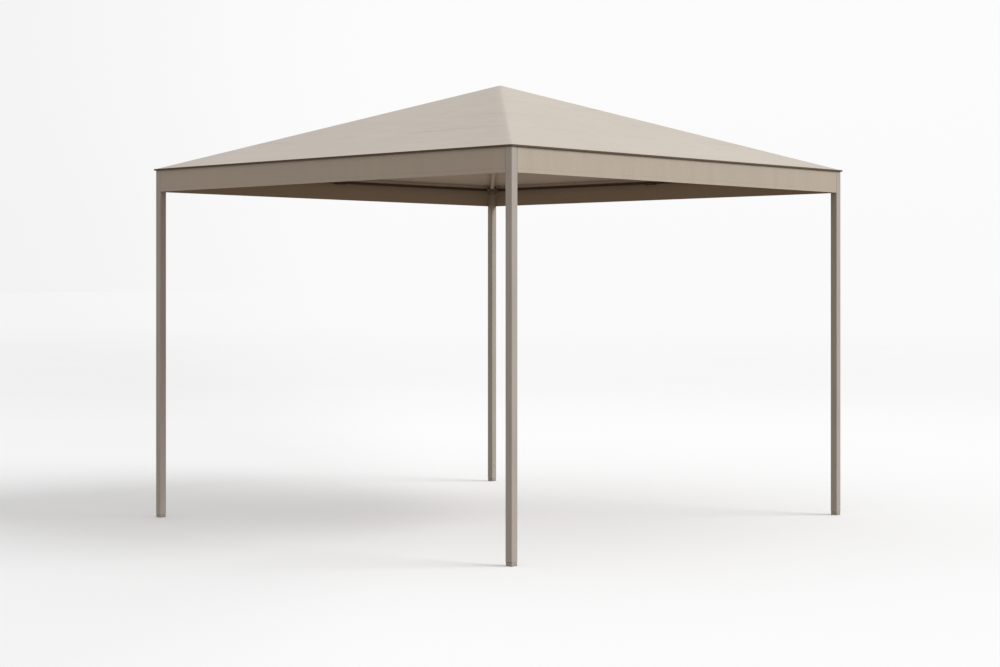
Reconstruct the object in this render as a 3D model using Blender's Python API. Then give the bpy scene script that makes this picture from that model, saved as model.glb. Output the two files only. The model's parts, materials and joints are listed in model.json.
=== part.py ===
"""Square pop up gazebo: a taut hipped canopy on a folding frame with four telescopic legs.

Metres, +Z up. The origin is on the ground at the centre of the plan, X runs to the right
and Y to the back. The frame stands open, with the inner legs pushed home.

How the frame folds: each side has an eave rail in two halves that meet at a level knuckle,
and each hip has a rafter in two links that meet at a pin. Rails and rafters fold downwards
while the legs slide together and the hub sinks to the level of the leg tops.
"""
import math

import bmesh
import bpy
from mathutils import Matrix, Vector

# Overall sizes
SIDE = 3.0                 # plan over the outer faces of the legs
EAVE_Z = 2.144             # outer edge of the roof
APEX_Z = 2.671
OVERHANG = 0.006           # roof edge past the outer faces of the legs
VALANCE_DROP = 0.141       # eave to the valance's lower edge
CLOTH = 0.0015             # thickness of every canopy panel
GAP = 0.0003               # clearance between pieces that touch

# Legs
LEG = 0.045                # square outer tube
LEG_ARRIS = 0.004
LEG_WALL = 0.0012
LEG_TOP_Z = 2.1350
INNER_LEG = 0.039          # square inner tube
INNER_LEG_ARRIS = 0.0025
INNER_LEG_TOP_Z = 1.170
FOOT = 0.043
FOOT_HEIGHT = 0.020
FOOT_BEVEL = 0.0035

# Snap buttons, one near the bottom of each leg
BUTTON_Z = 0.120
BUTTON_RADIUS = 0.0045
BUTTON_INNER_X = 0.0200    # inner end, clear of the inner leg
BUTTON_OUTER_X = 0.0265
BUTTON_DOME = ((0.0015, 1.0), (0.0005, 0.8), (0.0, 0.45))   # from the outer end, share of radius
BUTTON_STOPS = (0.0, 0.08, 0.16, 0.25)   # leg extensions with a hole for the button
BUTTON_HOLE = 0.0049
STOP_HOLE = 0.0055
HOLE_CUTTER = (0.012, 0.032)   # from the leg's centre line, through one wall

# Eave rails and their knuckles
RAIL = 0.018
RAIL_Z = 2.1205
RAIL_WALL = 0.0009
TUBE_ARRIS = 0.002         # of rails and rafters
RAIL_PIVOT = 0.0525        # leg centre to the rail's pivot
RAIL_END = 0.007           # tube past its pivot
KNUCKLE_HALF = 0.030       # half the distance between a knuckle's pivots
KNUCKLE_END = 0.012        # knuckle past its pivots
KNUCKLE_FLOOR = 0.012      # pivot line to the knuckle's floor
KNUCKLE_ROUND = 0.009      # radius round a knuckle's pivots
CHEEK = 0.002              # plate thickness of knuckles and rail ears
RAIL_EAR_ROUND = 0.008
RAIL_EAR_ROOT = (-0.010, 0.009)   # foot of a rail ear, below and above the pivot line
PIN = 0.0035
PIN_HEAD = 0.0015          # pin end that stands out of a plate
PIN_ROUND = 12             # facets round a pin or a hole

# Hip rafters and hub
RAFTER = 0.025
RAFTER_WALL = 0.0009
RAFTER_DROP = 0.016        # pivot line to the tube's centre line
RAFTER_END = 0.0075        # tube end short of its pivot
HIP_DROP = 0.0175          # hip line of the cloth to the pivot line
LUG_RADIUS = 0.0065
LUG_LENGTH = 0.022
LUG_BASE = 0.0041          # depth of a lug's foot below the pivot line
EAR = 0.0025               # plate thickness of rafter ears
FORK_BRIDGE = (0.022, 0.046)   # where the fork is joined across the tube, from its pin
FORK_TOP = 0.004
FORK_SKIRT = 0.012
RAFTER_PIN = 0.004
LUG_SIDE = 0.0002          # lug's side inside the tube's side
HUB_PIVOT = 0.050          # hub centre to a rafter's pivot
HUB_POST = 0.012
HUB_POST_TOP = 0.018
HUB_POST_LENGTH = 0.058
HUB_WEB = (-0.0075, 0.0055)   # web between the ears, below and above the pivot line
HUB_EAR_FOOT = 0.0085      # pivot line to the ears' lower edge
HUB_EAR_CHAMFER = 0.004
CROWN_HALF = 0.060         # half the side of the crown cap
SEAM_Y = 0.790             # centre to the seam between the upper and lower roof panels

# Corner brackets
SKIRT = 0.004
SKIRT_FOOT_Z = 2.085
CAP_PLATE = 0.003
CAP_EDGE = 0.001           # cap's outer edge inside the leg's outer face
WING_EDGE = 0.0035         # skirt's end inside the leg's outer face, behind the valance
EAR_BITE = 0.0016          # depth of the rafter ears' roots in the skirt, along the diagonal
EAR_FOOT = -0.035          # leg top to the foot of the rafter ears

STEP = 0.0005              # offset between faces of solids that are joined into one piece

LEG_CENTRE = (SIDE - LEG) / 2
ROOF_HALF = SIDE / 2 + OVERHANG
ROOF_SLOPE = (APEX_Z - EAVE_Z) / ROOF_HALF
HIP_SLOPE = ROOF_SLOPE / math.sqrt(2)
HIP_PITCH = math.atan(HIP_SLOPE)
EAR_ROOT = math.sqrt(2) * (LEG / 2 + GAP) - RAFTER / 2 + EAR_BITE
CORNER_PIVOT = math.sqrt(2) * (RAIL_PIVOT + KNUCKLE_HALF) - HUB_PIVOT
RAIL_LENGTH = LEG_CENTRE - RAIL_PIVOT - KNUCKLE_HALF
RAFTER_LENGTH = RAIL_LENGTH / math.sqrt(2) / math.cos(HIP_PITCH)
HUB_PIVOT_Z = APEX_Z - HIP_SLOPE * HUB_PIVOT - HIP_DROP
CORNER_RADIUS = LEG_CENTRE * math.sqrt(2) - CORNER_PIVOT
CORNER_PIVOT_Z = HUB_PIVOT_Z - HIP_SLOPE * (CORNER_RADIUS - HUB_PIVOT)

QUARTER = math.pi / 2
CORNERS = {"back_right": 0, "back_left": 1, "front_left": 2, "front_right": 3}
SIDES = {"back": ("right", "left"), "left": ("back", "front"),
         "front": ("left", "right"), "right": ("front", "back")}
BUTTON_TURN = {"back_right": 2, "back_left": 0, "front_left": 1, "front_right": 1}


# Outlines

def arc(x, z, radius, steps=PIN_ROUND):
    """Points round a whole circle."""
    turns = [2 * math.pi * step / steps for step in range(steps)]
    return [(x + radius * math.cos(turn), z + radius * math.sin(turn)) for turn in turns]


def hull(points):
    """Convex outline round the points, anticlockwise."""
    points = sorted(set(points))

    def chain(sequence):
        line = []
        for point in sequence:
            while len(line) > 1 and turn_of(line[-2], line[-1], point) <= 1e-12:
                line.pop()
            line.append(point)
        return line[:-1]

    return chain(points) + chain(reversed(points))


def turn_of(a, b, c):
    """Positive where the path a, b, c turns to the left."""
    return (b[0] - a[0]) * (c[1] - a[1]) - (b[1] - a[1]) * (c[0] - a[0])


def rounded_square(half, radius, steps=2):
    """Outline of a square with rounded arrises, anticlockwise."""
    points = []
    for corner in range(4):
        turn = Matrix.Rotation(corner * QUARTER, 2)
        for step in range(steps + 1):
            angle = QUARTER * step / steps
            point = Vector((half - radius, half - radius))
            point += radius * Vector((math.cos(angle), math.sin(angle)))
            points.append(turn @ point)
    return points


# Solids

def finish(bm, name, matrix=None):
    """Mesh of a bmesh, with its faces pointing out."""
    bmesh.ops.recalc_face_normals(bm, faces=bm.faces)
    if matrix:
        bm.transform(matrix)
    mesh = bpy.data.meshes.new(name)
    bm.to_mesh(mesh)
    bm.free()
    return mesh


def loft(name, low, high, matrix=None):
    """Closed solid between two outlines with the same number of points."""
    bm = bmesh.new()
    rings = [[bm.verts.new(point) for point in ring] for ring in (low, high)]
    count = len(low)
    for i in range(count):
        j = (i + 1) % count
        bm.faces.new((rings[0][i], rings[0][j], rings[1][j], rings[1][i]))
    bm.faces.new(rings[0][::-1])
    bm.faces.new(rings[1])
    return finish(bm, name, matrix)


def box(x0, x1, y0, y1, z0, z1, matrix=None):
    corners = ((x0, y0), (x1, y0), (x1, y1), (x0, y1))
    return loft("box", [(x, y, z0) for x, y in corners], [(x, y, z1) for x, y in corners],
                matrix)


def plate(outline, y0, y1, matrix=None):
    """Plate with an outline in XZ, between two values of Y."""
    return loft("plate", [(x, y0, z) for x, z in outline], [(x, y1, z) for x, z in outline],
                matrix)


def rod(x, z, radius, y0, y1, matrix=None):
    """Round rod along Y."""
    return plate(arc(x, z, radius), y0, y1, matrix)


def post(radius, z0, z1):
    """Round post along Z at the origin."""
    ring = arc(0, 0, radius)
    return loft("post", [(x, y, z0) for x, y in ring], [(x, y, z1) for x, y in ring])


def tube(half, wall, radius, low, high, matrix=None):
    """Square tube along Z with rounded arrises, open at both ends."""
    bm = bmesh.new()
    outlines = (rounded_square(half, radius), rounded_square(half - wall, radius - wall / 2))
    rings = [[bm.verts.new((p.x, p.y, z)) for p in outline]
             for outline, z in ((outlines[0], low), (outlines[0], high),
                                (outlines[1], high), (outlines[1], low))]
    count = len(outlines[0])
    for first, second in zip(rings, rings[1:] + rings[:1]):
        for i in range(count):
            j = (i + 1) % count
            bm.faces.new((first[i], first[j], second[j], second[i]))
    return finish(bm, "tube", matrix)


def combined(name, base, add=(), cut=()):
    """Mesh of the base with solids joined on and then cut away."""
    steps = [(mesh, "UNION") for mesh in add] + [(mesh, "DIFFERENCE") for mesh in cut]
    work = [bpy.data.objects.new(name, mesh) for mesh in (base, *(m for m, _ in steps))]
    for obj in work:
        bpy.context.scene.collection.objects.link(obj)
    for tool, (_, operation) in zip(work[1:], steps):
        modifier = work[0].modifiers.new(operation, "BOOLEAN")
        modifier.operation = operation
        modifier.object = tool
    depsgraph = bpy.context.evaluated_depsgraph_get()
    mesh = bpy.data.meshes.new_from_object(work[0].evaluated_get(depsgraph))
    mesh.name = name
    for obj in work:
        bpy.data.objects.remove(obj)
    return mesh


# Frame pieces

ALONG_X = Matrix.Rotation(QUARTER, 4, "Y")


def wall_hole(z, radius):
    """Cutter for a hole in a leg's +X wall."""
    return rod(0, z, radius, *HOLE_CUTTER, Matrix.Rotation(-QUARTER, 4, "Z"))


def outer_leg_mesh():
    """Outer tube, with a hole for the snap button in its +X wall."""
    leg = tube(LEG / 2, LEG_WALL, LEG_ARRIS, FOOT_HEIGHT + 2 * GAP, LEG_TOP_Z)
    return combined("outer_leg", leg, cut=[wall_hole(BUTTON_Z, BUTTON_HOLE)])


def inner_leg_mesh():
    """Inner tube, with a row of stop holes in its +X wall."""
    leg = tube(INNER_LEG / 2, LEG_WALL, INNER_LEG_ARRIS, FOOT_HEIGHT + GAP, INNER_LEG_TOP_Z)
    holes = [wall_hole(BUTTON_Z + stop, STOP_HOLE) for stop in BUTTON_STOPS]
    return combined("inner_leg", leg, cut=holes)


def foot_mesh():
    """Foot block, rounded on every edge."""
    bm = bmesh.new()
    bmesh.ops.create_cube(bm, size=1)
    bmesh.ops.scale(bm, vec=(FOOT, FOOT, FOOT_HEIGHT), verts=bm.verts)
    bmesh.ops.translate(bm, vec=(0, 0, FOOT_HEIGHT / 2), verts=bm.verts)
    bmesh.ops.bevel(bm, geom=bm.edges[:], offset=FOOT_BEVEL, segments=2, affect="EDGES",
                    profile=0.5)
    return finish(bm, "foot")


def button_mesh():
    """Snap button with a domed head, along X from the leg's centre line."""
    rings = [(BUTTON_INNER_X, 1.0)] + [(BUTTON_OUTER_X - depth, share)
                                       for depth, share in BUTTON_DOME]
    bm = bmesh.new()
    loops = [[bm.verts.new((x, y, z)) for y, z in arc(0, 0, BUTTON_RADIUS * share)]
             for x, share in rings]
    for first, second in zip(loops, loops[1:]):
        for i in range(PIN_ROUND):
            j = (i + 1) % PIN_ROUND
            bm.faces.new((first[i], first[j], second[j], second[i]))
    bm.faces.new(loops[0][::-1])
    bm.faces.new(loops[-1])
    return finish(bm, "snap_button")


def rail_mesh():
    """Half an eave rail along +X, from its leg pivot at the origin to its knuckle pivot."""
    bar = tube(RAIL / 2, RAIL_WALL, TUBE_ARRIS, -RAIL_END, RAIL_LENGTH + RAIL_END, ALONG_X)
    holes = [rod(x, 0, PIN + GAP, -RAIL, RAIL) for x in (0, RAIL_LENGTH)]
    return combined("eave_rail", bar, cut=holes)


def knuckle_mesh():
    """Channel between two half rails, with its origin at the pinned one's pivot."""
    inner = RAIL / 2 + GAP
    outer = inner + CHEEK
    far = 2 * KNUCKLE_HALF
    ends = (-KNUCKLE_END, far + KNUCKLE_END)
    outline = hull(arc(0, 0, KNUCKLE_ROUND) + arc(far, 0, KNUCKLE_ROUND)
                   + [(x, -KNUCKLE_FLOOR - CHEEK) for x in ends])
    floor = box(*ends, -outer, outer, -KNUCKLE_FLOOR - CHEEK, -KNUCKLE_FLOOR)
    cheeks = [plate(outline, -outer, -inner), plate(outline, inner, outer)]
    pin = rod(0, 0, PIN, -outer - PIN_HEAD, outer + PIN_HEAD)
    reach = (inner + STEP, outer + PIN_HEAD)
    rivets = [rod(far, 0, PIN, -reach[1], -reach[0]), rod(far, 0, PIN, *reach)]
    return combined("rail_knuckle", floor, add=cheeks + [pin] + rivets)


def lug(x, way):
    """Lug on top of a rafter tube, round a pivot at x. The tube runs to the side of way."""
    outline = hull(arc(x, 0, LUG_RADIUS) + [(x + way * LUG_LENGTH, -LUG_BASE)])
    half = RAFTER / 2 - LUG_SIDE
    return plate(outline, -half, half)


def rafter_tube():
    return tube(RAFTER / 2, RAFTER_WALL, TUBE_ARRIS, RAFTER_END, RAFTER_LENGTH - RAFTER_END,
                Matrix.Translation((0, 0, -RAFTER_DROP)) @ ALONG_X)


def lug_hole(x):
    return rod(x, 0, RAFTER_PIN + GAP, -RAFTER, RAFTER)


def outer_rafter_mesh():
    """Link from the corner bracket's pin at the origin to the rafter knuckle, along +X."""
    return combined("outer_rafter", rafter_tube(), add=[lug(0, 1), lug(RAFTER_LENGTH, -1)],
                    cut=[lug_hole(0), lug_hole(RAFTER_LENGTH)])


def inner_rafter_mesh():
    """Link from the hub's pin at the origin to a fork with the knuckle pin, along +X."""
    inner = RAFTER / 2 + GAP
    outer = inner + EAR
    near, far = (RAFTER_LENGTH - distance for distance in FORK_BRIDGE)
    cheek = hull(arc(RAFTER_LENGTH, 0, LUG_RADIUS)
                 + [(far, FORK_TOP), (far, -LUG_BASE), (near, -FORK_SKIRT)])
    fork = [box(far, near, STEP - outer, outer - STEP, -LUG_BASE, FORK_TOP - STEP),
            plate(cheek, -outer, -inner), plate(cheek, inner, outer),
            rod(RAFTER_LENGTH, 0, RAFTER_PIN, -outer - PIN_HEAD, outer + PIN_HEAD)]
    return combined("inner_rafter", rafter_tube(), add=[lug(0, 1)] + fork, cut=[lug_hole(0)])


def hub_mesh():
    """Crossed pairs of ears round a post, with a pin in each of the four arms."""
    inner = RAFTER / 2 + GAP
    outer = inner + EAR
    reach = HUB_PIVOT + LUG_RADIUS - HUB_EAR_CHAMFER
    web = inner + 2 * STEP
    outline = hull(arc(HUB_PIVOT, 0, LUG_RADIUS) + arc(-HUB_PIVOT, 0, LUG_RADIUS)
                   + [(-reach, -HUB_EAR_FOOT), (reach, -HUB_EAR_FOOT)])
    solids = [post(HUB_POST, HUB_POST_TOP - HUB_POST_LENGTH, HUB_POST_TOP),
              box(-web, web, -web, web, *HUB_WEB)]
    for arm in range(2):
        turn = Matrix.Rotation(arm * QUARTER, 4, "Z")
        solids += [plate(outline, -outer, -inner, turn), plate(outline, inner, outer, turn)]
        solids += [rod(x, 0, RAFTER_PIN, -outer - PIN_HEAD, outer + PIN_HEAD, turn)
                   for x in (-HUB_PIVOT, HUB_PIVOT)]
    return combined("hub", solids[0], add=solids[1:])


def bracket_mesh():
    """Cap on a leg with ears for two rails and a rafter, in the leg's frame at its top.

    The frame's middle lies towards -X and -Y.
    """
    face = LEG / 2 + GAP
    top = GAP + CAP_PLATE
    foot = SKIRT_FOOT_Z - LEG_TOP_Z
    back = LEG / 2 - CAP_EDGE
    wing = LEG / 2 - WING_EDGE
    rim = face + SKIRT
    cap = box(-face, back, -face, back, GAP, top)
    solids = [box(-rim, -face, -rim, wing, foot, top - STEP),
              box(STEP - rim, wing - STEP, STEP - rim, -face, foot + STEP, top - 2 * STEP),
              box(-face - 2 * STEP, wing - 2 * STEP, -face - 2 * STEP, wing - 2 * STEP,
                  2 * GAP, top - 3 * STEP)]
    solids += rail_ears(Matrix.Identity(4)) + rail_ears(Matrix.Rotation(QUARTER, 4, "Z"))
    return combined("corner_bracket", cap, add=solids + rafter_ears())


def rail_ears(turn):
    """Two ears and a pin for the rail that leaves the leg along -X."""
    z = RAIL_Z - LEG_TOP_Z
    inner = RAIL / 2 + GAP
    outer = inner + CHEEK
    root = -LEG / 2 - GAP - SKIRT / 2
    outline = hull(arc(-RAIL_PIVOT, z, RAIL_EAR_ROUND) + [(root, z + rise) for rise in RAIL_EAR_ROOT])
    return [plate(outline, -outer, -inner, turn), plate(outline, inner, outer, turn),
            rod(-RAIL_PIVOT, z, PIN, -outer - PIN_HEAD, outer + PIN_HEAD, turn)]


def rafter_ears():
    """Two ears and a pin on the diagonal towards the middle of the frame."""
    turn = Matrix.Rotation(QUARTER / 2, 4, "Z")
    z = CORNER_PIVOT_Z - LEG_TOP_Z
    inner = RAFTER / 2 + GAP
    outer = inner + EAR
    outline = hull(arc(-CORNER_PIVOT, z, LUG_RADIUS)
                   + [(-EAR_ROOT, EAR_FOOT), (-EAR_ROOT, CAP_PLATE - STEP)])
    return [plate(outline, -outer, -inner, turn), plate(outline, inner, outer, turn),
            rod(-CORNER_PIVOT, z, RAFTER_PIN, -outer - PIN_HEAD, outer + PIN_HEAD, turn)]


# Canopy pieces, in the frame of a side that lies towards +Y

def roof_z(y):
    """Height of the roof's outer face at a distance y from the centre."""
    return APEX_Z - ROOF_SLOPE * y


def roof_panel_mesh(name, y0, y1):
    """Panel of one roof slope from y0 out to y1, with its origin on its inner edge."""
    drop = CLOTH / math.cos(math.atan(ROOF_SLOPE))
    mitre = 2 * GAP
    top = [(x, y - y0, roof_z(y) - roof_z(y0))
           for x, y in ((-y0 + mitre, y0), (y0 - mitre, y0), (y1 - mitre, y1), (-y1 + mitre, y1))]
    return loft(name, [(x, y, z - drop) for x, y, z in top], top)


def valance_mesh():
    """Valance between two legs, hanging from its origin on the eave."""
    half = LEG_CENTRE - LEG / 2 - 2 * GAP
    low = EAVE_Z - VALANCE_DROP - valance_top()
    return box(-half, half, -CLOTH, 0, low, 0)


def valance_top():
    return roof_z(SIDE / 2) - CLOTH / math.cos(math.atan(ROOF_SLOPE)) - 2 * GAP


def crown_mesh():
    """Peak of the canopy: a small hollow pyramid."""
    drop = CLOTH / math.cos(math.atan(ROOF_SLOPE))
    rim = roof_z(CROWN_HALF) - APEX_Z
    bm = bmesh.new()
    tips = [bm.verts.new((0, 0, z)) for z in (0, -drop)]
    corners = [(x * CROWN_HALF, y * CROWN_HALF) for x, y in ((1, 1), (-1, 1), (-1, -1), (1, -1))]
    rings = [[bm.verts.new((x, y, rim + shift)) for x, y in corners] for shift in (0, -drop)]
    for i in range(4):
        j = (i + 1) % 4
        bm.faces.new((tips[0], rings[0][i], rings[0][j]))
        bm.faces.new((tips[1], rings[1][j], rings[1][i]))
        bm.faces.new((rings[0][i], rings[1][i], rings[1][j], rings[0][j]))
    return finish(bm, "crown_cap")


# Placing

def clear_scene():
    for obj in list(bpy.data.objects):
        bpy.data.objects.remove(obj)


def material(name, colour, roughness, metallic=0.0):
    made = bpy.data.materials.new(name)
    made.use_nodes = True
    shader = made.node_tree.nodes["Principled BSDF"]
    shader.inputs["Base Color"].default_value = (*colour, 1)
    shader.inputs["Roughness"].default_value = roughness
    shader.inputs["Metallic"].default_value = metallic
    return made


def place(name, mesh, look, parent, location=(0, 0, 0), rotation=(0, 0, 0)):
    """Object of a piece, with its own copy of a material under the piece's name."""
    copy = mesh.copy()
    copy.shade_smooth()
    copy.set_sharp_from_angle(angle=math.radians(35))
    own = look.copy()
    own.name = name
    copy.materials.clear()
    copy.materials.append(own)
    obj = bpy.data.objects.new(name, copy)
    bpy.context.scene.collection.objects.link(obj)
    obj.parent = parent
    obj.location = location
    obj.rotation_euler = rotation
    return obj


def guide(name, location, turn):
    """Empty that carries the pieces of a corner, a side or a diagonal."""
    empty = bpy.data.objects.new(name, None)
    bpy.context.scene.collection.objects.link(empty)
    empty.location = location
    empty.rotation_euler = (0, 0, turn)
    return empty


def place_corner(corner, number, meshes, looks):
    """A leg with everything that is fixed to it or slides in it, and its hip rafter."""
    turn = number * QUARTER
    spot = Matrix.Rotation(turn, 4, "Z") @ Vector((LEG_CENTRE, LEG_CENTRE, 0))
    holder = guide("corner_" + corner, spot, turn)
    leg_turn = (0, 0, BUTTON_TURN[corner] * QUARTER - turn)
    place("leg_" + corner, meshes["leg"], looks["frame"], holder, rotation=leg_turn)
    place("inner_leg_" + corner, meshes["inner_leg"], looks["inner"], holder, rotation=leg_turn)
    place("foot_" + corner, meshes["foot"], looks["foot"], holder)
    arm = Matrix.Rotation(leg_turn[2], 4, "Z") @ Vector((0, 0, BUTTON_Z))
    place("snap_button_" + corner, meshes["button"], looks["button"], holder, arm, leg_turn)
    place("corner_bracket_" + corner, meshes["bracket"], looks["bracket"], holder,
          (0, 0, LEG_TOP_Z))

    diagonal = guide("diagonal_" + corner, (0, 0, 0), turn + QUARTER / 2)
    place("inner_rafter_" + corner, meshes["inner_rafter"], looks["rafter"], diagonal,
          (HUB_PIVOT, 0, HUB_PIVOT_Z), (0, HIP_PITCH, 0))
    place("outer_rafter_" + corner, meshes["outer_rafter"], looks["rafter"], diagonal,
          (CORNER_RADIUS, 0, CORNER_PIVOT_Z), (0, -HIP_PITCH, math.pi))


def place_side(side, number, meshes, looks):
    """The folding eave rail and the canopy panels of one side."""
    holder = guide("side_" + side, (0, 0, 0), number * QUARTER)
    reach = LEG_CENTRE - RAIL_PIVOT
    for end, x, turn in zip(SIDES[side], (reach, -reach), (math.pi, 0)):
        place("eave_rail_" + side + "_" + end, meshes["rail"], looks["rail"], holder,
              (x, LEG_CENTRE, RAIL_Z), (0, 0, turn))
    place("rail_knuckle_" + side, meshes["knuckle"], looks["rail"], holder,
          (-KNUCKLE_HALF, LEG_CENTRE, RAIL_Z))
    rim = CROWN_HALF + 2 * GAP
    seam = SEAM_Y + 2 * GAP
    place("roof_upper_" + side, meshes["upper"], looks["roof"], holder, (0, rim, roof_z(rim)))
    place("roof_lower_" + side, meshes["lower"], looks["roof"], holder, (0, seam, roof_z(seam)))
    place("valance_" + side, meshes["valance"], looks["valance"], holder,
          (0, SIDE / 2, valance_top()))


def main():
    clear_scene()
    looks = {"frame": material("frame_paint", (0.42, 0.36, 0.29), 0.45, 0.0),
             "inner": material("inner_tube", (0.50, 0.46, 0.40), 0.35, 0.6),
             "foot": material("foot_plastic", (0.18, 0.15, 0.12), 0.6),
             "button": material("button_steel", (0.55, 0.55, 0.55), 0.3, 1.0),
             "rafter": material("rafter_paint", (0.60, 0.55, 0.48), 0.45),
             "hub": material("hub_plastic", (0.12, 0.10, 0.08), 0.55),
             "bracket": material("bracket_plastic", (0.27, 0.23, 0.19), 0.55),
             "rail": material("rail_paint", (0.10, 0.08, 0.06), 0.5),
             "roof": material("roof_cloth", (0.55, 0.49, 0.42), 0.85),
             "valance": material("valance_cloth", (0.45, 0.38, 0.30), 0.85)}
    meshes = {"leg": outer_leg_mesh(), "inner_leg": inner_leg_mesh(), "foot": foot_mesh(),
              "button": button_mesh(), "bracket": bracket_mesh(), "rail": rail_mesh(),
              "knuckle": knuckle_mesh(), "inner_rafter": inner_rafter_mesh(),
              "outer_rafter": outer_rafter_mesh(),
              "upper": roof_panel_mesh("roof_upper", CROWN_HALF + 2 * GAP, SEAM_Y),
              "lower": roof_panel_mesh("roof_lower", SEAM_Y + 2 * GAP, ROOF_HALF),
              "valance": valance_mesh()}
    for corner, number in CORNERS.items():
        place_corner(corner, number, meshes, looks)
    for number, side in enumerate(SIDES):
        place_side(side, number, meshes, looks)
    centre = guide("centre", (0, 0, 0), 0)
    place("hub", hub_mesh(), looks["hub"], centre, (0, 0, HUB_PIVOT_Z), (0, 0, QUARTER / 2))
    place("crown_cap", crown_mesh(), looks["roof"], centre, (0, 0, APEX_Z))


main()
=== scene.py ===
"""Looks of the pop up gazebo: taut cloth canopy, powder coated frame, floor, light and camera."""
import json
import math

import bpy
from mathutils import Matrix, Vector


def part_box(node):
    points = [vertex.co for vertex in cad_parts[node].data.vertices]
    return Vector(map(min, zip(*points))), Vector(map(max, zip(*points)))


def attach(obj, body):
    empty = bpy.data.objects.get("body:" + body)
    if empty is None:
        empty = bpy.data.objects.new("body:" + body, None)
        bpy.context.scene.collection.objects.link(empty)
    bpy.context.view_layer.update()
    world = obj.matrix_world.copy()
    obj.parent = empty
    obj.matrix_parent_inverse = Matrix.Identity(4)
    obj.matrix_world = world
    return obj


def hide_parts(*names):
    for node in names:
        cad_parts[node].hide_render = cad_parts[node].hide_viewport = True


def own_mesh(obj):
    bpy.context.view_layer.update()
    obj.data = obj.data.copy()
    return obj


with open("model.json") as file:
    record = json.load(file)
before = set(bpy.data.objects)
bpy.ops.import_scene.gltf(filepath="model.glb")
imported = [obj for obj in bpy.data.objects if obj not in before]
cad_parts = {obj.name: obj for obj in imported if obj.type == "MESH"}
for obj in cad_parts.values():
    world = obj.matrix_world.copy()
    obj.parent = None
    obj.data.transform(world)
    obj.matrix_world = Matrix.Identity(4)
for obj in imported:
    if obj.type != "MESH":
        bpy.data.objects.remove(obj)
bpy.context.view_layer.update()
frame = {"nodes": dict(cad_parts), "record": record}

QUARTER = math.pi / 2
SIDES = {"back": 0, "left": 1, "front": 2, "right": 3}    # quarter turns from +Y

# The canopy's place, measured on the frame
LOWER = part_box("roof_lower_back")
APEX_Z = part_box("crown_cap")[1].z
CROWN_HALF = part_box("crown_cap")[1].y + 0.0003            # just past the cap, to meet the slopes
SEAM_Y = LOWER[0].y - 0.0006                              # middle of the gap between two panels
ROOF_HALF = LOWER[1].y
ROOF_SLOPE = (APEX_Z - LOWER[1].z) / LOWER[0].y
SLOPE_LENGTH = math.hypot(1, ROOF_SLOPE)                  # slope length per metre of plan
EAVE_Z = APEX_Z - ROOF_SLOPE * ROOF_HALF
VALANCE_LOW, VALANCE_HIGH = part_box("valance_back")

# Where on the roll of cloth each side is cut, so that no two sides have the same marks and painted
# shade
CUT_SHIFT = {"back": 23.0, "left": 11.0, "front": 0.0, "right": 37.0}

# Cloth
CLOTH = 0.0008                  # thickness
YARN = 0.0016                   # pitch of the weave
STITCH = 0.005                  # pitch of a row of stitches
STITCH_HALF = 0.0012
SEAM_HALF = 0.004
SEAM_INSET = 0.006              # row of stitches, below the seam between two panels
HEM_ROW = 0.019                 # row of stitches, above the valance's lower edge
# Soft creases on the roof, each darkened with painted shade along it
CREASE_HALF = 0.013
CREASES = ((0.45, 0.44), (0.78, 0.20), (1.08, 0.36))   # plan distance from the peak, strength
SHARP = math.radians(50)        # a steeper edge isn't shaded smooth

# Roof slopes
SAG = 0.006                     # between the rafters
RIDGE = (0.016, 0.005)          # rounding of the hips, at the peak and at the eave
RIPPLE = 0.0008                 # height of the soft waves across the slopes
RIPPLE_LENGTH = 0.22
RIPPLE_FADE = (0.10, 0.5, 0.3)  # over which they fade out to the hips, the peak and the eave
HIP_INSETS = (0, 0.004, 0.009, 0.016, 0.026, 0.040, 0.060)   # of the points beside a hip
HIP_FULL = 0.25                 # half width of slope from which those insets are full size
SLOPE_COLUMNS = 96
PANEL_ROWS = 30
CROWN_STEPS = 20

# Bound edge of the eave, from the roof's own edge
HEM_OUT = 0.0022
HEM_IN = 0.0015
HEM_UP = 0.0004
HEM_DOWN = 0.0095
HEM_ROUND = (0.0010, 0.0014)    # cut off its outer corners, inwards and along
HEM_THIN = (0.0010, 0.0006)     # taken off its inner side, at the top and at the bottom
HEM_COLUMNS = 120

# Valances
TAB = 0.016                     # ends turned in along the legs, below the brackets
TAB_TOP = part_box("corner_bracket_back_right")[0].z - 0.002
TAB_STEP = 0.001                # height over which a tab ends
# Top strip of the valance's inner face, whose paler cloth is painted light
FACING = 0.013                  # of lining, turned down behind the top
VALANCE_IN = 0.0012             # behind the CAD sheet's face, which leaves room for the waves
VALANCE_DOWN = 0.0006           # below the CAD sheet's top
LOW_ROWS = (0, 0.012, 0.03, 0.05)   # of points, above the lower edge
HIGH_ROW = 0.03                 # below the top
HANG = 0.0009                   # height of the waves at the lower edge
HANG_LENGTH = 0.25
HANG_FADE = 0.12                # over which they fade out to the legs
VALANCE_COLUMNS = 240

# Frame
WEAR = (0.0026, 0.0008)         # inside a leg's face, where its worn arris begins and is full

# Studio
FLOOR_SIZE = 600
FLOOR_GLOW = 0.08               # light of its own, which keeps the shadows pale
# Painted shade on the floor and the wall, darker towards the side away from the key light
SHADE_SIDE = (-0.727, -0.687)   # plan direction of the darker side, away from the key light
DIM = 0.075                     # how much darker it is there
DIM_TURN = (0.05, 0.30)         # over which it dims, as a share of the distance
DIM_START = 2.0                 # added to that distance on the floor, so the middle stays even
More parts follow.
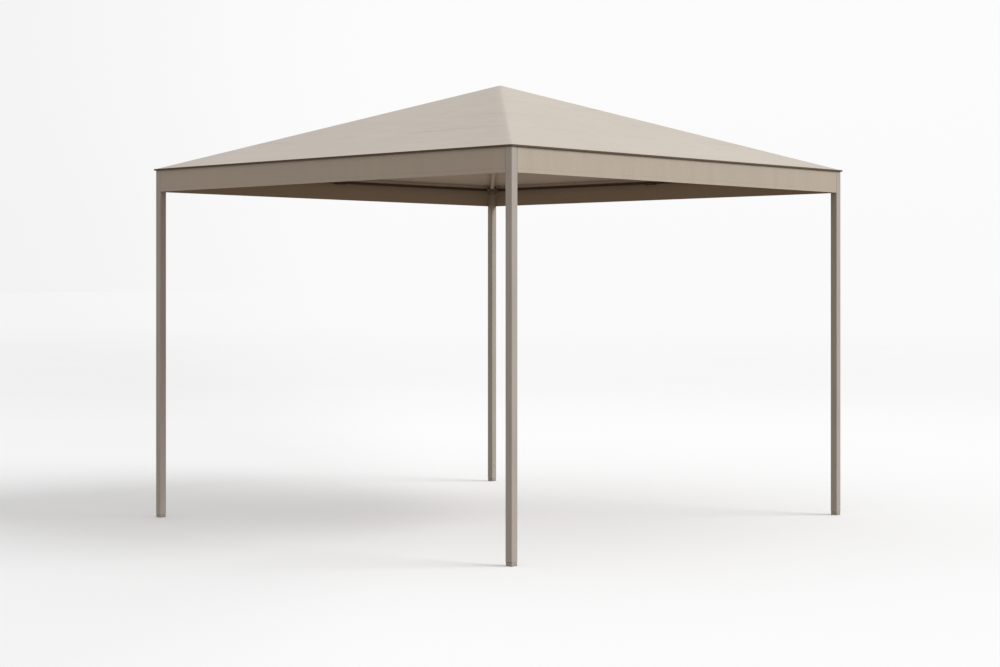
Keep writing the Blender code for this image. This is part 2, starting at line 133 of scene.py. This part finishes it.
# painted shade on the floor, a little darker further out
FAR_SHADE = (5.0, 17.0)             # distance over which the floor darkens a little
FAR_SHADE_DIM = 0.05
FAR = (18.0, 60.0)              # distance over which it pales towards the wall
FAR_PALE = 0.3
KEY_POWER = 2.02
KEY_WIDTH = math.radians(37)    # how large the key light looks, for soft shadows
KEY_TURN = math.radians(33)     # from +X
KEY_HEIGHT = math.radians(33)
SKY = ((0.47, (0.26, 0.206, 0.16)),       # light from below, the horizon and straight above
       (0.53, (0.63, 0.605, 0.58)),
       (1.0, (0.73, 0.73, 0.73)))

# Camera
CAMERA_TURN = math.radians(43.40)   # from -Y
CAMERA_DISTANCE = 11.713
EYE = 1.431
LENS = 68.09                    # focal length in mm
SHIFT = -0.0487                 # of the picture, which keeps the legs upright


def new_object(name, data):
    """A new object in the scene."""
    obj = bpy.data.objects.new(name, data)
    bpy.context.scene.collection.objects.link(obj)
    return obj


# Shader graphs

class Graph:
    """A node tree, with short ways to add nodes."""

    def __init__(self, tree):
        self.tree = tree

    def node(self, kind, output=0, values=None, **settings):
        """Adds a node, sets its inputs to values or links, and returns one output."""
        made = self.tree.nodes.new(kind)
        for key, value in settings.items():
            setattr(made, key, value)
        for key, value in (values or {}).items():
            self.put(made.inputs[key], value)
        return made.outputs[output]

    def put(self, socket, value):
        """Links a socket or sets its value."""
        if isinstance(value, bpy.types.NodeSocket):
            self.tree.links.new(value, socket)
        else:
            socket.default_value = value

    def math(self, operation, first, second=0.0, third=0.0):
        """One step of arithmetic."""
        return self.node("ShaderNodeMath", operation=operation,
                         values={0: first, 1: second, 2: third})

    def place(self, source="Object"):
        """Where a point is, in the object's metres, on its UV map or as a direction."""
        return self.node("ShaderNodeTexCoord", source)

    def split(self, vector):
        """The X, Y and Z outputs of a vector."""
        parts = self.tree.nodes.new("ShaderNodeSeparateXYZ")
        self.put(parts.inputs[0], vector)
        return parts.outputs

    def noise(self, vector, scale, detail=2.0, stretch=(1, 1, 1)):
        """Cloudy noise, finer along a direction that stretch makes larger."""
        moved = self.node("ShaderNodeMapping", values={"Vector": vector, "Scale": stretch})
        return self.node("ShaderNodeTexNoise", values={"Vector": moved, "Scale": scale,
                                                       "Detail": detail})

    def spread(self, value, low, high, start=0.0, end=1.0):
        """Smoothly maps low..high to start..end."""
        return self.node("ShaderNodeMapRange", interpolation_type="SMOOTHSTEP",
                         values={0: value, 1: low, 2: high, 3: start, 4: end})

    def blend(self, share, first, second):
        """Mixes two colours, from the first at share 0 to the second at share 1."""
        mixer = self.tree.nodes.new("ShaderNodeMix")
        mixer.data_type = "RGBA"
        self.put(mixer.inputs[0], share)
        for socket, value in ((mixer.inputs[6], first), (mixer.inputs[7], second)):
            self.put(socket, value if isinstance(value, bpy.types.NodeSocket) else (*value, 1))
        return mixer.outputs[2]


class Finish(Graph):
    """A material's node tree."""

    def __init__(self, name, roughness, metallic=0.0, sheen=0.0):
        self.material = bpy.data.materials.new(name)
        self.material.use_nodes = True
        super().__init__(self.material.node_tree)
        self.shader = self.tree.nodes["Principled BSDF"]
        self.shader.inputs["Metallic"].default_value = metallic
        self.shader.inputs["Sheen Weight"].default_value = sheen
        self.shader.inputs["Sheen Roughness"].default_value = 0.6
        self.shader.inputs["Roughness"].default_value = roughness

    def shade(self, colour, roughness=None):
        """Sets the colour and, where it varies, the roughness."""
        self.put(self.shader.inputs["Base Color"], colour)
        if roughness is not None:
            self.put(self.shader.inputs["Roughness"], roughness)

    def bump(self, *layers):
        """Stacks bump layers, each a height from 0 to 1 and its depth in metres."""
        normal = None
        for height, depth in layers:
            made = self.tree.nodes.new("ShaderNodeBump")
            made.inputs["Distance"].default_value = depth
            self.put(made.inputs["Height"], height)
            if normal:
                self.put(made.inputs["Normal"], normal)
            normal = made.outputs[0]
        self.put(self.shader.inputs["Normal"], normal)


def shades(colour, factor):
    """A lighter or darker shade of a colour."""
    return tuple(channel * factor for channel in colour)


def weave(graph, u, v):
    """Height of a plain weave, from the cloth's two directions in metres."""
    turns = 2 * math.pi / YARN
    warp = graph.math("SINE", graph.math("MULTIPLY", u, turns))
    weft = graph.math("SINE", graph.math("MULTIPLY", v, turns))
    return graph.math("MULTIPLY_ADD", graph.math("MULTIPLY", warp, weft), 0.5, 0.5)


def line(graph, value, centre, half):
    """1 on a line at a value, fading to 0 at half its width."""
    gap = graph.math("ABSOLUTE", graph.math("SUBTRACT", value, centre))
    return graph.spread(gap, low=0.0, high=half, start=1.0, end=0.0)


def stitches(graph, u, v, centre):
    """A row of stitches along U, at one value of V."""
    dash = graph.math("SINE", graph.math("MULTIPLY", u, 2 * math.pi / STITCH))
    row = line(graph, v, centre, STITCH_HALF)
    return graph.math("MULTIPLY", graph.spread(dash, low=-0.4, high=0.4), row)


def cloth_material(name, colour, lines=(), seams=(), hanging=False):
    """Coated woven polyester. U runs along the eave and V up or down the cloth, in metres.

    lines are soft creases, each a value of V and a strength of painted shade along it, and seams
    are rows of stitches.
    Hanging cloth has its soft folds and streaks of painted wrinkle shade up and down, and taut
    cloth along the eave.
    """
    # painted shade of soft wrinkles, as streaks: their stretch and how dark they may get
    wrinkle_shade_stretch, wrinkle_shade_share = ((4.5, 0.5, 1), 0.7) if hanging else ((1, 7, 1), 0.5)
    folds, fold_depth = ((4, 0.5, 1), 0.007) if hanging else ((1, 3.5, 1), 0.005)
    graph = Finish(name, roughness=0.8, sheen=0.08)
    uv = graph.place("UV")
    u, v, _ = graph.split(uv)
    patches = graph.noise(uv, scale=1.6, detail=3.0)
    slubs = graph.noise(uv, scale=220.0, detail=1.0, stretch=(0.25, 1, 1))
    wrinkle_streaks = graph.noise(uv, scale=2.5, detail=3.0, stretch=wrinkle_shade_stretch)
    soft = graph.noise(uv, scale=2.2, stretch=folds)

    patched = graph.spread(patches, low=0.35, high=0.65)
    slubbed = graph.spread(slubs, low=0.3, high=0.7, end=0.5)
    wrinkle_shaded = graph.spread(wrinkle_streaks, low=0.35, high=0.65, end=wrinkle_shade_share)
    tone = graph.blend(patched, shades(colour, 0.965), shades(colour, 1.02))
    tone = graph.blend(slubbed, tone, shades(colour, 0.93))
    # painted shade of soft wrinkles
    tone = graph.blend(wrinkle_shaded, tone, shades(colour, 0.94))
    layers = [(soft, fold_depth), (slubs, 0.00006), (weave(graph, u, v), 0.00008)]
    # painted shade along each crease, which is also bumped in
    for centre, strength in lines:
        fading = graph.noise(uv, scale=0.7 + 0.6 * centre, detail=1.0, stretch=(1, 0.3, 1))
        breaks = graph.spread(fading, low=0.38, high=0.62)
        drift = graph.noise(uv, scale=4.0, detail=1.0)
        wander = graph.math("MULTIPLY_ADD", drift, 0.03, centre - 0.015)
        crease = graph.math("MULTIPLY", line(graph, v, wander, CREASE_HALF), breaks)
        tone = graph.blend(graph.math("MULTIPLY", crease, strength), tone, shades(colour, 0.6))
        layers.append((graph.math("SUBTRACT", 1.0, crease), 0.0015))
    for centre in seams:
        row = stitches(graph, u, v, centre)
        tone = graph.blend(graph.math("MULTIPLY", row, 0.55), tone, shades(colour, 0.55))
        layers.append((line(graph, v, centre, SEAM_HALF), -0.0004))
    graph.shade(tone, graph.spread(patches, low=0.3, high=0.7, start=0.74, end=0.86))
    graph.bump(*layers)
    return graph.material


def paint_material(name, colour, edge=None):
    """Powder coat with a fine orange peel, faint scuffs and, on legs, paler worn arrises."""
    graph = Finish(name, roughness=0.42)
    graph.shader.inputs["Specular IOR Level"].default_value = 0.35
    at = graph.place()
    peel = graph.noise(at, scale=700.0, detail=1.0)
    waves = graph.noise(at, scale=60.0, detail=1.0)
    scuffs = graph.noise(at, scale=18.0, detail=4.0, stretch=(1, 1, 0.15))
    scuffed = graph.spread(scuffs, low=0.35, high=0.7)
    tone = graph.blend(scuffed, shades(colour, 1.02), shades(colour, 0.94))
    if edge:
        tone = graph.blend(edge(graph, at), tone, shades(colour, 1.22))
    graph.shade(tone, graph.spread(scuffs, low=0.3, high=0.7, start=0.36, end=0.50))
    graph.bump((peel, 0.00005), (waves, 0.00008))
    return graph.material


def leg_arrises(graph, at):
    """Share of wear on the arrises of the square legs, broken up along them."""
    x, y, _ = graph.split(at)
    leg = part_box("leg_back_right")
    middle = (leg[0].x + leg[1].x) / 2
    half = (leg[1].x - leg[0].x) / 2
    near = []
    for axis in (x, y):
        off = graph.math("SUBTRACT", graph.math("ABSOLUTE", axis), middle)
        off = graph.math("ABSOLUTE", off)
        near.append(graph.spread(off, low=half - WEAR[0], high=half - WEAR[1]))
    rubbed = graph.noise(at, scale=9.0, detail=3.0, stretch=(1, 1, 0.4))
    patches = graph.spread(rubbed, low=0.42, high=0.62)
    return graph.math("MULTIPLY", graph.math("MULTIPLY", *near), patches)


def moulded_material(name, colour):
    """Moulded plastic with a fine grain."""
    graph = Finish(name, roughness=0.55)
    at = graph.place()
    grain = graph.noise(at, scale=1400.0)
    clouds = graph.noise(at, scale=30.0)
    graph.shade(graph.blend(clouds, shades(colour, 0.9), shades(colour, 1.12)),
                graph.spread(grain, low=0.3, high=0.7, start=0.48, end=0.64))
    graph.bump((grain, 0.00006))
    return graph.material


def steel_material(name):
    """Bright turned steel."""
    graph = Finish(name, roughness=0.3, metallic=1.0)
    at = graph.place()
    rings = graph.noise(at, scale=900.0, stretch=(1, 1, 0.1))
    graph.shade(graph.blend(rings, (0.50, 0.49, 0.47), (0.62, 0.61, 0.59)),
                graph.spread(rings, low=0.3, high=0.7, start=0.24, end=0.38))
    graph.bump((rings, 0.00002))
    return graph.material


# Shapes of the canopy

def roof_height(x, y):
    """Height of the roof's outer face, with soft hips and a slight sag between rafters."""
    a, b = abs(x), abs(y)
    out = max(a, b)
    ridge = RIDGE[1] + (RIDGE[0] - RIDGE[1]) * max(0.0, 1 - out / ROOF_HALF)
    far = (a + b) / 2 + math.hypot((a - b) / 2, ridge)
    bay = max(0.0, 1 - (min(a, b) / max(out, 1e-6)) ** 2)
    sag = SAG * bay * math.sin(math.pi * min(1.0, out / ROOF_HALF)) if out > CROWN_HALF else 0.0
    return APEX_Z - ROOF_SLOPE * far - sag


def ripple(x, length, phase):
    """A wave along X, from -1 to 1."""
    return math.sin(2 * math.pi * x / length + phase)


def grid_mesh(name, rows, uvs, materials, flip=False):
    """Closed thin sheet from rows of points. Its second material is on the inner face."""
    count = len(rows[0])
    mesh = bpy.data.meshes.new(name)
    points = [point for row in rows for point in row]
    faces = []
    for i in range(len(rows) - 1):
        for j in range(count - 1):
            face = (i * count + j, i * count + j + 1, (i + 1) * count + j + 1, (i + 1) * count + j)
            faces.append(face[::-1] if flip else face)
    mesh.from_pydata(points, [], faces)
    layer = mesh.uv_layers.new(name="cloth")
    flat = [uv for row in uvs for uv in row]
    for loop in mesh.loops:
        layer.data[loop.index].uv = flat[loop.vertex_index]
    for material in materials:
        mesh.materials.append(material)
    mesh.shade_smooth()
    obj = new_object(name, mesh)
    thick = obj.modifiers.new("thickness", "SOLIDIFY")
    thick.thickness = CLOTH
    thick.offset = -1
    thick.use_even_offset = False
    thick.material_offset = 1
    thick.material_offset_rim = 0
    return settle(obj)


def settle(obj):
    """Applies an object's modifiers."""
    depsgraph = bpy.context.evaluated_depsgraph_get()
    mesh = bpy.data.meshes.new_from_object(obj.evaluated_get(depsgraph))
    mesh.name = obj.name
    mesh.set_sharp_from_angle(angle=SHARP)
    obj.modifiers.clear()
    obj.data = mesh
    return obj


def fold_with(obj, side, body, node):
    """Turns a canopy piece to its side, hides the CAD node that it stands for and rides it on a
    body.
    """
    turn = Matrix.Rotation(SIDES[side] * QUARTER, 4, "Z")
    obj.data.transform(turn)
    if node:
        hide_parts(node)
    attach(obj, body)
    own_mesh(obj)


def column_places(half):
    """Places across a slope from hip to hip, closer together at the rounded hips."""
    scale = min(1.0, half / HIP_FULL)
    edge = [half - inset * scale for inset in HIP_INSETS]
    steps = [edge[-1] * (1 - 2 * step / SLOPE_COLUMNS) for step in range(1, SLOPE_COLUMNS)]
    return [-place for place in edge + steps] + edge[::-1]


def roof_panel(side, part, y0, y1, looks):
    """One roof slope's upper or lower panel."""
    to_hip, to_peak, to_eave = RIPPLE_FADE
    points, uvs = [], []
    for row in range(PANEL_ROWS + 1):
        y = y0 + (y1 - y0) * row / PANEL_ROWS
        line_points, line_uvs = [], []
        for x in column_places(y):
            fade = min(1.0, (y - abs(x)) / to_hip, y / to_peak, (ROOF_HALF - y) / to_eave)
            wave = RIPPLE * max(0.0, fade) * ripple(x, RIPPLE_LENGTH, 2.0 * y)
            line_points.append((x, y, roof_height(x, y) + wave))
            line_uvs.append((x + CUT_SHIFT[side], y * SLOPE_LENGTH))
        points.append(line_points)
        uvs.append(line_uvs)
    name = f"canopy_{part}_{side}"
    obj = grid_mesh(name, points, uvs, (looks["roof"], looks["lining_painted_light"]))
    fold_with(obj, side, f"roof_{part}_{side}", f"roof_{part}_{side}")


def eave_hem(side, looks):
    """Bound edge of one side of the roof, a flat tape sewn round the eave."""
    outer, inner = ROOF_HALF + HEM_OUT, ROOF_HALF - HEM_IN
    high, low = EAVE_Z + HEM_UP, EAVE_Z - HEM_DOWN
    inwards, along = HEM_ROUND
    profile = [(inner, high - HEM_THIN[0]), (outer - inwards, high), (outer, high - along),
               (outer, low + along), (outer - inwards, low), (inner, low + HEM_THIN[1])]
    verts, faces = [], []
    for column in range(HEM_COLUMNS + 1):
        share = 2 * column / HEM_COLUMNS - 1
        verts += [(share * y, y, z) for y, z in profile]
    size = len(profile)
    for column in range(HEM_COLUMNS):
        for corner in range(size):
            here, beside = column * size + corner, column * size + (corner + 1) % size
            faces.append((here, here + size, beside + size, beside))
    faces.append(tuple(range(size)))
    faces.append(tuple(HEM_COLUMNS * size + corner for corner in reversed(range(size))))
    mesh = bpy.data.meshes.new(f"eave_hem_{side}")
    mesh.from_pydata(verts, [], faces)
    mesh.materials.append(looks["hem"])
    mesh.update()
    obj = new_object(f"eave_hem_{side}", mesh)
    fold_with(obj, side, f"roof_lower_{side}", None)


def valance(side, looks):
    """Hanging strip between two legs, whose ends are turned in beside the legs."""
    half = VALANCE_HIGH.x
    low, high = VALANCE_LOW.z, VALANCE_HIGH.z - VALANCE_DOWN
    outer = VALANCE_HIGH.y - VALANCE_IN
    levels = [low + rise for rise in LOW_ROWS]
    levels += [TAB_TOP - TAB_STEP, TAB_TOP, high - HIGH_ROW, high - FACING, high]
    points, uvs = [], []
    for z in levels:
        hang = (high - z) / (high - low)
        tab = TAB if z < TAB_TOP else CLOTH
        row = [(-half, outer - tab, z)]
        for column in range(VALANCE_COLUMNS + 1):
            x = half * (2 * column / VALANCE_COLUMNS - 1)
            ends = min(1.0, (half - abs(x)) / HANG_FADE)
            uneven = 1.0 + 0.6 * math.sin(3 * x)
            wave = HANG * hang * ends * ripple(x, HANG_LENGTH, uneven)
            row.append((x, outer + wave, z))
        points.append(row + [(half, outer - tab, z)])
        flat = [-half - tab] + [x for x, _, _ in row[1:]] + [half + tab]
        uvs.append([(u + CUT_SHIFT[side], z - low) for u in flat])
    obj = grid_mesh(f"canopy_valance_{side}", points, uvs,
                    (looks["valance"], looks["valance_inside_painted_shade"]), flip=True)
    # the facing's paler cloth is painted light
    obj.data.materials.append(looks["facing"])
    for polygon in obj.data.polygons:
        if polygon.material_index == 1 and polygon.center.z > high - FACING:
            polygon.material_index = 2
    fold_with(obj, side, f"valance_{side}", f"valance_{side}")


def crown(looks):
    """The peak of the canopy, where the four slopes are joined."""
    places = [CROWN_HALF * (2 * step / CROWN_STEPS - 1) for step in range(CROWN_STEPS + 1)]
    points = [[(x, y, roof_height(x, y)) for x in places] for y in places]
    uvs = [[(x, max(abs(x), abs(y)) * SLOPE_LENGTH) for x in places] for y in places]
    obj = grid_mesh("canopy_crown", points, uvs, (looks["roof"], looks["lining_painted_light"]))
    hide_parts("crown_cap")
    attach(obj, "hub")


# Stage

def towards_shade(graph, x, y):
    """Distance towards the studio's darker side."""
    return graph.math("MULTIPLY_ADD", x, SHADE_SIDE[0], graph.math("MULTIPLY", y, SHADE_SIDE[1]))


def add_floor():
    """A pale studio floor with painted shade: a little darker away from the key light and further
    off.
    """
    bpy.ops.mesh.primitive_plane_add(size=FLOOR_SIZE)
    floor = bpy.context.object
    floor.name = "floor"
    graph = Finish("floor", roughness=0.9)
    at = graph.place()
    x, y, _ = graph.split(at)
    reach = graph.node("ShaderNodeVectorMath", "Value", {0: at}, operation="LENGTH")
    far = graph.math("ADD", reach, DIM_START)
    turned = graph.math("DIVIDE", towards_shade(graph, x, y), far)
    tone = graph.blend(graph.noise(at, scale=0.4), (0.855, 0.86, 0.868), (0.875, 0.88, 0.888))
    # painted shade: darker away from the key light and further out
    for value, low, high, share in ((turned, *DIM_TURN, DIM), (reach, *FAR_SHADE, FAR_SHADE_DIM)):
        tone = graph.blend(graph.spread(value, low, high, end=share), tone, (0, 0, 0))
    pale = graph.spread(reach, *FAR, end=FAR_PALE)
    graph.shade(graph.blend(pale, tone, (0.88, 0.885, 0.893)))
    graph.shader.inputs["Specular IOR Level"].default_value = 0.0
    graph.shader.inputs["Emission Color"].default_value = (1, 1, 1, 1)
    graph.shader.inputs["Emission Strength"].default_value = FLOOR_GLOW
    floor.data.materials.append(graph.material)
    floor.visible_diffuse = False
    floor.visible_glossy = False


def add_key():
    """A soft low key light from the right."""
    sun = new_object("key", bpy.data.lights.new("key", "SUN"))
    sun.data.energy = KEY_POWER
    sun.data.angle = KEY_WIDTH
    towards = Vector((math.cos(KEY_TURN), math.sin(KEY_TURN), math.tan(KEY_HEIGHT)))
    sun.rotation_euler = towards.to_track_quat("Z", "Y").to_euler()


def add_studio():
    """Even light all round, warm and darker from below, and a pale wall behind with painted shade
    on the side away from the key light.
    """
    world = bpy.data.worlds.new("studio")
    bpy.context.scene.world = world
    world.use_nodes = True
    graph = Graph(world.node_tree)
    x, y, rise = graph.split(graph.place("Generated"))
    height = graph.math("MULTIPLY_ADD", rise, 0.5, 0.5)
    sky = graph.node("ShaderNodeValToRGB", values={0: height})
    stops = sky.node.color_ramp.elements
    stops.new(SKY[1][0])
    for stop, (position, colour) in zip(stops, SKY):
        stop.position = position
        stop.color = (*colour, 1)
    raised = graph.spread(rise, low=-0.02, high=0.12)
    wall = graph.blend(raised, (0.955, 0.955, 0.955), (0.97, 0.97, 0.97))
    # painted shade: the wall is darker towards the side away from the key light
    dim = graph.spread(towards_shade(graph, x, y), *DIM_TURN, end=DIM)
    wall = graph.blend(dim, wall, (0, 0, 0))
    seen = graph.node("ShaderNodeLightPath", "Is Camera Ray")
    graph.put(world.node_tree.nodes["Background"].inputs["Color"], graph.blend(seen, sky, wall))


def add_camera():
    """At a standing person's eye height, looking level at the near corner."""
    camera = new_object("camera", bpy.data.cameras.new("camera"))
    camera.location = (CAMERA_DISTANCE * math.sin(CAMERA_TURN),
                       -CAMERA_DISTANCE * math.cos(CAMERA_TURN), EYE)
    camera.rotation_euler = (QUARTER, 0, CAMERA_TURN)
    camera.data.lens = LENS
    camera.data.shift_y = SHIFT
    bpy.context.scene.camera = camera


def paint_frame():
    """Materials of the frame's own pieces, by what they are made of."""
    taupe = (0.47, 0.435, 0.39)
    by_slot = {"frame_paint": paint_material("leg_paint", taupe, leg_arrises),
               "inner_tube": paint_material("inner_paint", taupe),
               # near black: partly the rail's own dark paint and partly painted shade under the
               # eave
               "rail_paint": paint_material("rail_paint_dark_and_painted_shade", (0.085, 0.052, 0.030)),
               # painted light: the rafters are far paler than the legs' paint
               "rafter_paint": paint_material("rafter_paint_painted_light", (0.82, 0.77, 0.70)),
               "moulding": moulded_material("moulded_dark", (0.10, 0.075, 0.05)),
               "corner_moulding": moulded_material("moulded_corner", (0.35, 0.30, 0.25)),
               "foot_plastic": moulded_material("moulded_taupe", (0.40, 0.365, 0.32)),
               "button_steel": steel_material("button_bright")}
    for part in frame["record"]["subparts"]:
        look = by_slot.get(part["material_slot"])
        if look:
            for slot in frame["nodes"][part["node"]].material_slots:
                slot.material = look


def cloth_looks():
    """Materials of the canopy's pieces."""
    creases = [(distance * SLOPE_LENGTH, strength) for distance, strength in CREASES]
    panel_seam = (SEAM_Y + SEAM_INSET) * SLOPE_LENGTH
    return {"roof": cloth_material("roof_cloth_taupe", (0.566, 0.508, 0.447), creases,
                                   [panel_seam]),
            "valance": cloth_material("valance_cloth_taupe", (0.519, 0.455, 0.378),
                                      seams=[HEM_ROW], hanging=True),
            # painted light: the roof's inner face is far paler than its outer cloth, standing in
            # for light from below
            "lining_painted_light": cloth_material("roof_inside_painted_light", (0.80, 0.76, 0.72)),
            # painted light: paler than the rest of the inner face, lifting the shade between rail
            # and roof
            "facing": cloth_material("roof_facing_painted_light", (0.93, 0.88, 0.83)),
            # painted shade: the valance's inner face is darker than its outer cloth
            "valance_inside_painted_shade": cloth_material("valance_inside_painted_shade", (0.44, 0.374, 0.312)),
            # dark binding tape: partly its own colour and partly painted shade of the gap under
            # the eave
            "hem": cloth_material("hem_tape_dark_and_painted_shade", (0.10, 0.072, 0.045))}


def main():
    """Makes everything but the frame, which is loaded already."""
    bpy.context.scene.view_settings.view_transform = "Standard"
    add_camera()
    add_floor()
    add_key()
    add_studio()
    paint_frame()
    looks = cloth_looks()
    for side in SIDES:
        roof_panel(side, "upper", CROWN_HALF, SEAM_Y, looks)
        roof_panel(side, "lower", SEAM_Y, ROOF_HALF, looks)
        eave_hem(side, looks)
        valance(side, looks)
    crown(looks)


main()
